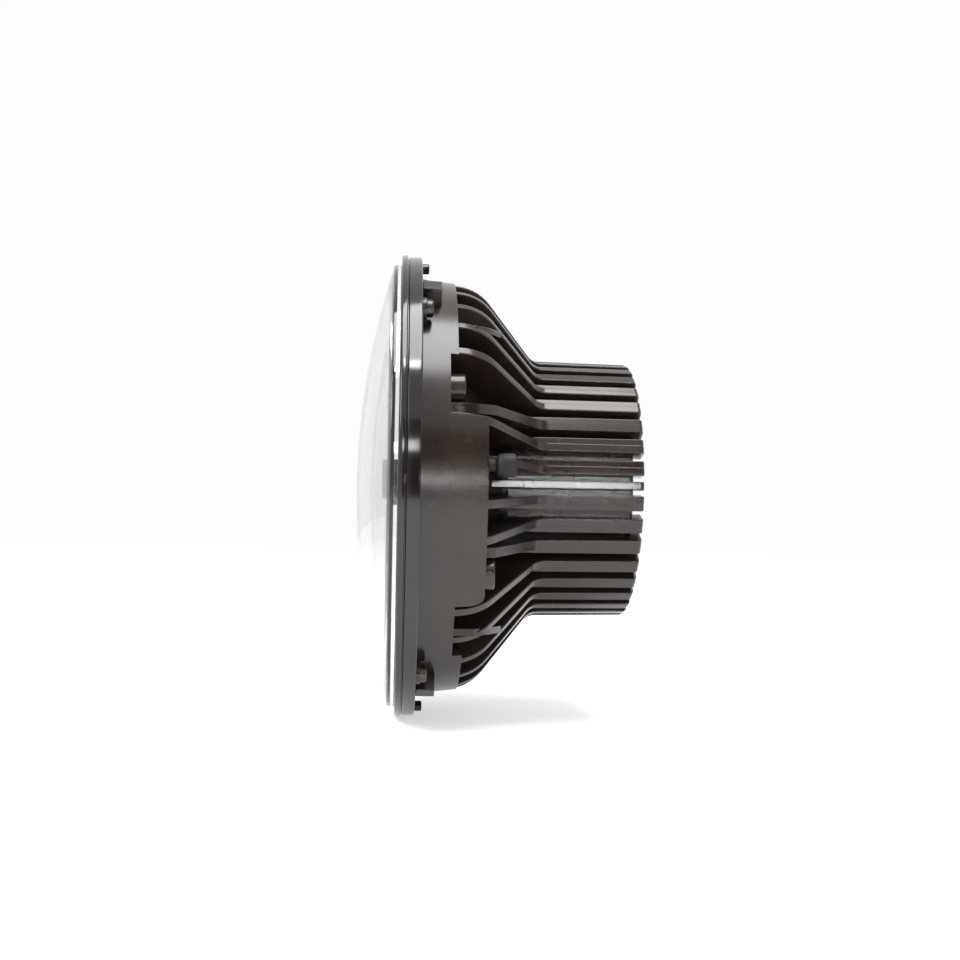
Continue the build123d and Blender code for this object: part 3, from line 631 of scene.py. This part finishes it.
def boss(form, place, radius, rear, width, hole=0.0):
    """A round boss on the bowl, with a blind hole where it takes a screw or the vent plug."""
    root = bowl_middle(math.hypot(*place))
    outline = [(0, root, 0), (radius, root, 0), (radius, rear, width)]
    if hole:
        bottom = rear - BOSS_HOLE_DEPTH
        outline += [(hole, rear, width / 2), (hole, bottom, 0), (0, bottom, 0)]
    else:
        outline += [(0, rear, 0)]
    turned_boss(form, rounded(outline, steps=3), BOSS_STEPS, place)


class HEADLIGHT_OT_casting(bpy.types.Operator):
    """Makes the finned housing with rounded cast edges, in its powder coat"""

    bl_idname = "headlight.casting"
    bl_label = "Casting"

    def execute(self, context):
        sizes = context.scene.headlight_sizes
        width = sizes.cast_round / MM
        form = bmesh.new()
        core = bmesh.new()
        bowl_edge = SKIRT_INNER + BOWL_OVERLAP
        turned(core, rounded([
            (bowl_edge, LEDGE_DEPTH, 0),
            (bowl_edge, bowl_outside(bowl_edge), 0),
            (CORE_RADIUS, bowl_outside(CORE_RADIUS), CORE_FOOT_ROUND),
            (CORE_RADIUS, CORE_REAR, CORE_REAR_ROUND),
            (HUB_RADIUS, CORE_REAR, HUB_FOOT_ROUND),
            (HUB_RADIUS, CORE_REAR + HUB_HEIGHT, HUB_ROUND),
            (OUTLET_RADIUS, CORE_REAR + HUB_HEIGHT, 0),
            (OUTLET_RADIUS, BAY_REAR, 0),
            (BAY_RADIUS, BAY_REAR, 0),
            (BAY_RADIUS, CHAMBER_STEP, 0),
            (CHAMBER_RADIUS, CHAMBER_STEP, 0),
            (CHAMBER_RADIUS, BOWL_FLOOR_DEPTH, 0),
            (BOWL_FLOOR_RADIUS, BOWL_FLOOR_DEPTH, 0),
            (LEDGE_RADIUS, LEDGE_DEPTH, 0)]), sizes.lathe_steps // 2)
        poured(form, core)
        skirt(form, sizes.cast_round)
        half = RIB_THICKNESS / 2
        for mirror in QUARTERS:
            for k, angle in enumerate(RIB_ANGLES):
                plate(form, fin_outline(), 0.0, FIN_WIDTH - half, radial_place(angle, mirror), width)
                if k == BENT_RIB:
                    place, bends = bent_place(mirror)
                    plate(form, rib_outline(), -BENT_THICKNESS / 2, BENT_THICKNESS / 2, place, width, bends)
                else:
                    outline = plug_rib_outline() if k == 0 and mirror == (1, 1) else rib_outline()
                    plate(form, outline, -half, half, radial_place(angle, mirror), width)
        for side in (1, -1):
            plate(form, fin_outline(), -NARROW_FIN / 2, NARROW_FIN / 2, radial_place(0.0, (side, 1)), width)
        inner, outer = (math.radians(RIB_ANGLES[k]) for k in WEB_RIBS)
        web(form, UPPER_WEB, UPPER_WEB / math.tan(outer), UPPER_WEB / math.tan(inner), width)
        shoulder = math.sqrt(RIB_SHOULDER[0]**2 - LOWER_WEB**2)
        web(form, -LOWER_WEB, LOWER_WEB / math.tan(outer), shoulder, width)
        for side in (1, -1):
            x, z = polar(BOSS_PITCH, BOSS_ANGLE)
            boss(form, (side * x, z), BOSS_RADIUS, UPPER_BOSS_REAR, BOSS_ROUND, BOSS_HOLE)
            boss(form, (side * x, -z), BOSS_RADIUS, LOWER_BOSS_REAR, BOSS_ROUND, BOSS_HOLE)
            x, z = polar(STOP_PITCH, STOP_ANGLE)
            boss(form, (side * x, z), STOP_RADIUS, STOP_REAR, STOP_ROUND)
        plug_spot = polar(PLUG_PITCH, PLUG_ANGLE)
        boss(form, plug_spot, PLUG_BOSS_RADIUS, PLUG_BOSS_REAR, PLUG_BOSS_ROUND, PLUG_BORE)
        ear = rounded([
            (0, 0, 0),
            (EAR_RADIUS, 0, 0),
            (EAR_RADIUS, EAR_THICKNESS, width),
            (0, EAR_THICKNESS, 0)], steps=3)
        for angle in EAR_ANGLES:
            turned_boss(form, ear, POST_STEPS, polar(EAR_PITCH, angle))
            cells(form, (SKIRT_BORE + half, EAR_PITCH), (-EAR_RADIUS, EAR_RADIUS), (0, EAR_THICKNESS),
                  lambda i, j, k: True, outward_place(angle), sizes.cast_round)
        for angle in LUG_ANGLES:
            reach = (SKIRT_BORE + half, SKIRT_FRONT + LUG_WALL, LUG_RADIUS - LUG_WALL, LUG_RADIUS)
            across = (-LUG_WIDTH / 2, -LUG_WIDTH / 2 + LUG_WALL, LUG_WIDTH / 2 - LUG_WALL, LUG_WIDTH / 2)
            cells(form, reach, across, (0, LUG_FLOOR, LUG_DEPTH),
                  lambda i, j, k: (i, j, k) != (1, 1, 1), outward_place(angle), sizes.cast_round)
        coat = cast_coat(context.scene.headlight_colours, sizes)
        finished("finned_housing", form, coat, ["housing"])
        return {"FINISHED"}


class HEADLIGHT_OT_rim(bpy.types.Operator):
    """Turns the gloss black rim with its lip, grooves and posts"""

    bl_idname = "headlight.rim"
    bl_label = "Rim"

    def execute(self, context):
        scene = context.scene
        front = -RIM_THICKNESS
        lip_rear = front + RIM_LIP
        groove = TONGUE_INNER - GROOVE_ROOM, TONGUE_INNER + TONGUE_WIDTH + GROOVE_ROOM
        floor = front + TONGUE_LENGTH + GROOVE_FLOOR_ROOM
        form = bmesh.new()
        turned(form, rounded([
            (RIM_INNER, 0, RIM_INNER_ROUND),
            (RIM_INNER, front, RIM_INNER_ROUND),
            (groove[0], front, GROOVE_ROUND),
            (groove[0], floor, 0),
            (groove[1], floor, 0),
            (groove[1], front, GROOVE_ROUND),
            (RIM_LIP_RADIUS, front, LIP_FRONT_ROUND),
            (RIM_LIP_RADIUS, lip_rear, LIP_REAR_ROUND),
            (RIM_RADIUS - RELIEF_DEPTH, lip_rear, RELIEF_ROUND),
            (RIM_RADIUS - RELIEF_DEPTH, lip_rear + RELIEF_WIDTH, RELIEF_ROUND),
            (RIM_RADIUS, lip_rear + RELIEF_WIDTH, RELIEF_EDGE_ROUND),
            (RIM_RADIUS, 0, RIM_REAR_ROUND),
            (GASKET_RADII[1], 0, 0),
            (GASKET_RADII[1], -GASKET_DEPTH, 0),
            (GASKET_RADII[0], -GASKET_DEPTH, 0),
            (GASKET_RADII[0], 0, 0)], steps=4), scene.headlight_sizes.lathe_steps)
        post = rounded([
            (0, -POST_SUNK, 0),
            (POST_RADIUS, -POST_SUNK, 0),
            (POST_RADIUS, POST_HEIGHT, POST_ROUND),
            (0, POST_HEIGHT, 0)], steps=4)
        for side in (1, -1):
            turned(form, post, POST_STEPS, (0.0, side * POST_PITCH))
        closed_up(form)
        # ABS from a polished mould: deep black, with long soft waves in its reflections
        gloss = finish("Moulded gloss black ABS", scene.headlight_colours.rim, "#1d1815",
                       grain=14.0, roughness=(0.07, 0.14), relief=0.03, IOR=1.53)
        finished("gloss_rim", form, gloss, ["rim_ring"])
        return {"FINISHED"}


class HEADLIGHT_OT_lens(bpy.types.Operator):
    """Turns the domed lens from clear polycarbonate"""

    bl_idname = "headlight.lens"
    bl_label = "Lens"

    def execute(self, context):
        edge_front = -RIM_THICKNESS - LENS_EDGE
        apex = edge_front - LENS_RISE
        ball = (LENS_RADIUS**2 + LENS_RISE**2) / (2 * LENS_RISE)

        def dome(radius, top, size):
            return top + size - math.sqrt(size**2 - radius**2)

        reach = [LENS_RADIUS * i / DOME_STEPS for i in range(DOME_STEPS)]
        outer = [(r, dome(r, apex, ball), 0) for r in reach]
        tongue_outer = TONGUE_INNER + TONGUE_WIDTH
        edge = [
            (LENS_RADIUS, edge_front, LENS_FRONT_ROUND),
            (LENS_RADIUS, -RIM_THICKNESS, LENS_SEAT_ROUND),
            (tongue_outer, -RIM_THICKNESS, 0),
            (tongue_outer, -RIM_THICKNESS + TONGUE_LENGTH, TONGUE_ROUND),
            (TONGUE_INNER, -RIM_THICKNESS + TONGUE_LENGTH, TONGUE_ROUND)]
        reach = [TONGUE_INNER * i / DOME_STEPS for i in range(DOME_STEPS + 1)]
        inner = [(r, dome(r, apex + LENS_WALL, ball - LENS_WALL), 0) for r in reversed(reach)]
        form = bmesh.new()
        turned(form, rounded(outer + edge + inner, steps=4), context.scene.headlight_sizes.lathe_steps)
        closed_up(form)
        # Polycarbonate under a hard coat: clear, with a faint ripple from the mould's flow
        clear = finish("Clear moulded polycarbonate", "#fdfdfd", "#f8fafa", grain=18.0,
                       roughness=(0.0, 0.03), relief=0.01, IOR=1.585, Transmission_Weight=1.0)
        finished("domed_lens", form, clear, ["lens"])
        return {"FINISHED"}


class HEADLIGHT_OT_plug(bpy.types.Operator):
    """Turns the vent plug's stem, neck and head, and gives the other rubber pieces its finish"""

    bl_idname = "headlight.plug"
    bl_label = "Vent plug"

    def execute(self, context):
        rear = PLUG_BOSS_REAR
        head = rear + NECK_LENGTH
        form = bmesh.new()
        turned(form, rounded([
            (0, rear - STEM_LENGTH, 0),
            (STEM_RADIUS, rear - STEM_LENGTH, STEM_ROUND),
            (STEM_RADIUS, rear, 0),
            (NECK_RADIUS, rear, 0),
            (NECK_RADIUS, head - NECK_FLARE, NECK_ROUND),
            (HEAD_RADIUS - HEAD_SHOULDER, head, HEAD_SHOULDER_ROUND),
            (HEAD_RADIUS, head + HEAD_SHOULDER_LENGTH, HEAD_EDGE_ROUND),
            (HEAD_RADIUS, head + HEAD_LENGTH, HEAD_REAR_ROUND),
            (0, head + HEAD_LENGTH, 0)], steps=5), PLUG_STEPS, polar(PLUG_PITCH, PLUG_ANGLE))
        closed_up(form)
        # EPDM from a spark-eroded mould: dull black with a fine tooth, drawn twice as coarse as real to show
        rubber = finish("Moulded EPDM rubber", context.scene.headlight_colours.rubber, "#221e1a",
                        grain=0.5, roughness=(0.5, 0.65), relief=0.02, Specular_IOR_Level=0.3)
        finished("vent_cap", form, rubber, ["vent_plug"])
        dress(["lens_sealant", "housing_gasket", "cable_grommet"], rubber)
        return {"FINISHED"}


class HEADLIGHT_OT_inside(bpy.types.Operator):
    """Finishes of the pieces behind the lens and in the core, which keep their CAD shape"""

    bl_idname = "headlight.inside"
    bl_label = "Inner pieces"

    def execute(self, context):
        colours = context.scene.headlight_colours
        # Steel with black zinc and an oil film: dark, with patches of shine
        screw = finish("Black zinc plated steel", colours.screw, "#5a5754", grain=0.6,
                       roughness=(0.2, 0.38), relief=0.01, metallic=1.0)
        # Polycarbonate from a fine textured mould: black, with a soft edge to its glare
        bezel = finish("Moulded black polycarbonate", "#0d0d0d", "#161616", grain=0.4,
                       roughness=(0.18, 0.3), relief=0.01)
        # Aluminium laid down in a vacuum on a lacquered bowl: a mirror with slow waves
        mirror_coat = finish("Vapour coated aluminium", "#dcdde0", "#ececee", grain=11.0,
                             roughness=(0.04, 0.09), relief=0.02, metallic=1.0)
        # Aluminium plate left from a face mill: bright bands of tool marks
        milled = finish("Milled aluminium", "#a5a7aa", "#c6c7ca", grain=1.2, roughness=(0.22, 0.4),
                        relief=0.01, metallic=1.0, pattern="ShaderNodeTexWave")
        # Glass fibre board under white solder mask: the copper beneath shows as faint patches
        board = finish("White solder mask", "#d5d8d4", "#e6e8e5", grain=5.0, roughness=(0.28, 0.36),
                       relief=0.03, pattern="ShaderNodeTexVoronoi")
        # Silicone with phosphor powder: warm yellow with a grainy dull skin
        chip = finish("Phosphor in silicone", "#dcb93c", "#f0d666", grain=0.3, roughness=(0.35, 0.5),
                      relief=0.02)
        # Acrylic with a white filler: milky, with slow clouds
        guide = finish("Moulded opal acrylic", "#d9dfe2", "#eef1f2", grain=7.0, roughness=(0.15, 0.25),
                       relief=0.01, Subsurface_Weight=0.2)
        # Glass fibre board under green solder mask, with darker fields of bare fibre
        driver = finish("Green solder mask", "#0e3f24", "#1c5a36", grain=3.0, roughness=(0.28, 0.38),
                        relief=0.03, pattern="ShaderNodeTexVoronoi")
        # Epoxy moulded round the parts: near black with a fine eroded tooth
        component = finish("Moulded epoxy", "#19191a", "#262627", grain=0.4, roughness=(0.4, 0.55),
                           relief=0.01)
        dress(["rim_screws", "reflector_screws", "carrier_screws", "board_screws", "driver_screws"], screw)
        dress(["inner_bezel"], bezel)
        dress(["reflector_upper", "reflector_lower"], mirror_coat)
        dress(["led_carrier"], milled)
        dress(["led_board_upper", "led_board_lower", "position_light_board"], board)
        dress(["leds_upper", "leds_lower", "position_leds"], chip)
        dress(["position_light_ring"], guide)
        dress(["driver_board"], driver)
        dress(["driver_components"], component)
        return {"FINISHED"}


# Camera, solved from the lamp's outline in the photograph, in its 960 px frame
FRAME_PX = 960
FOCAL_PX = 1284.8
TURN_PX = 82.0
AXIS_DROP_PX = 7.5
SENSOR_MM = 36.0
ROLL = math.radians(1.08)
BELOW = math.radians(-1.8)

# Studio, in metres: lamps as (name, place, aim, width and height, spread in degrees, watts)
WORLD_LIGHT = 0.6
FLOOR_LIFT = 0.55
FLOOR_SIZE = 8.0
FLOOR_GAP = 0.0002
NEAREST_SEEN = 0.01
CARD_SIZE = (0.52, 1.0)
CARD_PLACE = (0.78, 0.49, 0.16)
LAMPS = (
    ("top_softbox", (0.2, 0.1, 0.8), (0.0, 0.0, 0.0), (0.5, 0.5), 180, 7.0),
    ("key_softbox", (0.5, -0.55, 0.5), (0.0, 0.0, 0.0), (0.35, 0.35), 180, 4.0),
    ("high_spot", (0.437, 0.0, 0.61), (0.0, 0.0, 0.0), (0.05, 0.05), 180, 0.18),
    ("low_spot", (0.72, 0.0, 0.207), (0.0, 0.0, 0.0), (0.04, 0.06), 180, 0.12),
    ("fin_strip", (0.6, 0.14, 0.019), (0.049, 0.062, 0.0), (0.1, 0.03), 12, 0.005),
)


def seen_rays(tree):
    """Output that is one for camera, transmission and glossy rays, and zero for all others."""
    paths = node(tree, "ShaderNodeLightPath").outputs
    direct = node(tree, "ShaderNodeMath",
                  [(paths["Is Camera Ray"], 0), (paths["Is Transmission Ray"], 1)], operation="MAXIMUM")
    seen = node(tree, "ShaderNodeMath",
                [(direct.outputs[0], 0), (paths["Is Glossy Ray"], 1)], operation="MAXIMUM")
    return seen.outputs[0]


def board_of(name, width, height, made):
    """A flat board in the studio."""
    form = bmesh.new()
    bmesh.ops.create_grid(form, x_segments=1, y_segments=1, size=0.5)
    bmesh.ops.scale(form, vec=(width, height, 1), verts=form.verts)
    sheet = bpy.data.meshes.new(name)
    form.to_mesh(sheet)
    form.free()
    sheet.materials.append(made)
    board = bpy.data.objects.new(name, sheet)
    bpy.context.scene.collection.objects.link(board)
    return board


class HEADLIGHT_OT_stage(bpy.types.Operator):
    """Camera, backdrop, world and lamps"""

    bl_idname = "headlight.stage"
    bl_label = "Studio"

    def execute(self, context):
        scene = context.scene
        turn_rear = math.atan(TURN_PX / FOCAL_PX)
        out = Vector((math.cos(BELOW), 0, math.sin(BELOW)))
        up = Vector((-math.sin(BELOW), 0, math.cos(BELOW)))
        rear = Vector((0, 1, 0))
        look = rear * math.sin(turn_rear) - out * math.cos(turn_rear)
        right = rear * math.cos(turn_rear) + out * math.sin(turn_rear)
        rolled_right = (right + up * math.tan(ROLL)).normalized()
        rolled_up = (up - right * math.tan(ROLL)).normalized()
        data = bpy.data.cameras.new("photo_camera")
        data.sensor_width = SENSOR_MM
        data.lens = SENSOR_MM * FOCAL_PX / FRAME_PX
        data.shift_y = AXIS_DROP_PX / FRAME_PX
        data.clip_start = NEAREST_SEEN
        camera = bpy.data.objects.new("photo_camera", data)
        scene.collection.objects.link(camera)
        turn = Matrix((rolled_right, rolled_up, -look)).transposed().to_4x4()
        place = out * scene.headlight_sizes.camera_distance - rear * RIM_THICKNESS * MM
        camera.matrix_world = Matrix.Translation(place) @ turn
        scene.camera = camera

        scene.view_settings.view_transform = "Standard"
        world = bpy.data.worlds.new("studio")
        scene.world = world
        world.use_nodes = True
        tree = world.node_tree
        background = tree.nodes["Background"]
        background.inputs["Color"].default_value = linear(scene.headlight_colours.backdrop)
        strength = node(tree, "ShaderNodeMapRange", [(seen_rays(tree), "Value")],
                        **{"To Min": WORLD_LIGHT, "To Max": 1.0})
        tree.links.new(strength.outputs["Result"], background.inputs["Strength"])

        # Uncoated paper: dull white without glare, with a glow that brings it near the backdrop's white
        paper = bpy.data.materials.new("Matt white paper")
        paper.use_nodes = True
        tree = paper.node_tree
        shader = tree.nodes["Principled BSDF"]
        shader.inputs["Base Color"].default_value = linear("#f7f7f7")
        shader.inputs["Roughness"].default_value = 0.9
        shader.inputs["Specular IOR Level"].default_value = 0.0
        shader.inputs["Emission Color"].default_value = (1, 1, 1, 1)
        lift = node(tree, "ShaderNodeMath", [(seen_rays(tree), 0)], operation="MULTIPLY")
        lift.inputs[1].default_value = FLOOR_LIFT
        tree.links.new(lift.outputs[0], shader.inputs["Emission Strength"])
        floor = board_of("floor", FLOOR_SIZE, FLOOR_SIZE, paper)
        floor.location = (0, 0, CAD_BOX[0][2] - FLOOR_GAP)

        # Pressed wool: near black and fully rough, so the gloss pieces mirror a plain dark field
        felt = bpy.data.materials.new("Black felt")
        felt.use_nodes = True
        shader = felt.node_tree.nodes["Principled BSDF"]
        shader.inputs["Base Color"].default_value = linear("#191613")
        shader.inputs["Roughness"].default_value = 1.0
        card = board_of("black_card", *CARD_SIZE, felt)
        card.location = CARD_PLACE
        card.rotation_euler = (0, -math.pi / 2, 0)
        card.visible_camera = card.visible_diffuse = card.visible_shadow = card.visible_transmission = False

        for name, spot, aim, size, spread, power in LAMPS:
            lamp = bpy.data.lights.new(name, "AREA")
            lamp.shape = "RECTANGLE"
            lamp.size, lamp.size_y = size
            lamp.spread = math.radians(spread)
            lamp.energy = power
            softbox = bpy.data.objects.new(name, lamp)
            scene.collection.objects.link(softbox)
            softbox.location = spot
            softbox.rotation_euler = (Vector(aim) - softbox.location).to_track_quat("-Z", "Y").to_euler()
        return {"FINISHED"}


class HEADLIGHT_PT_panel(bpy.types.Panel):
    """Lists the steps, the sizes and the colours"""

    bl_label = "Headlight insert"
    bl_idname = "HEADLIGHT_PT_panel"
    bl_space_type = "VIEW_3D"
    bl_region_type = "UI"
    bl_category = "Headlight"

    def draw(self, context):
        for step in STEPS:
            self.layout.operator(step.bl_idname)
        for group in (context.scene.headlight_sizes, context.scene.headlight_colours):
            for name in group.__annotations__:
                self.layout.prop(group, name)


STEPS = (
    HEADLIGHT_OT_casting,
    HEADLIGHT_OT_rim,
    HEADLIGHT_OT_lens,
    HEADLIGHT_OT_plug,
    HEADLIGHT_OT_inside,
    HEADLIGHT_OT_stage,
)
CLASSES = (HeadlightSizes, HeadlightColours, *STEPS, HEADLIGHT_PT_panel)


def register():
    for made in CLASSES:
        bpy.utils.register_class(made)
    bpy.types.Scene.headlight_sizes = PointerProperty(type=HeadlightSizes)
    bpy.types.Scene.headlight_colours = PointerProperty(type=HeadlightColours)


def unregister():
    del bpy.types.Scene.headlight_colours
    del bpy.types.Scene.headlight_sizes
    for made in reversed(CLASSES):
        bpy.utils.unregister_class(made)


def main():
    """Makes the whole scene."""
    register()
    bpy.ops.headlight.casting()
    bpy.ops.headlight.rim()
    bpy.ops.headlight.lens()
    bpy.ops.headlight.plug()
    bpy.ops.headlight.inside()
    bpy.ops.headlight.stage()


if __name__ == "__main__":
    main()
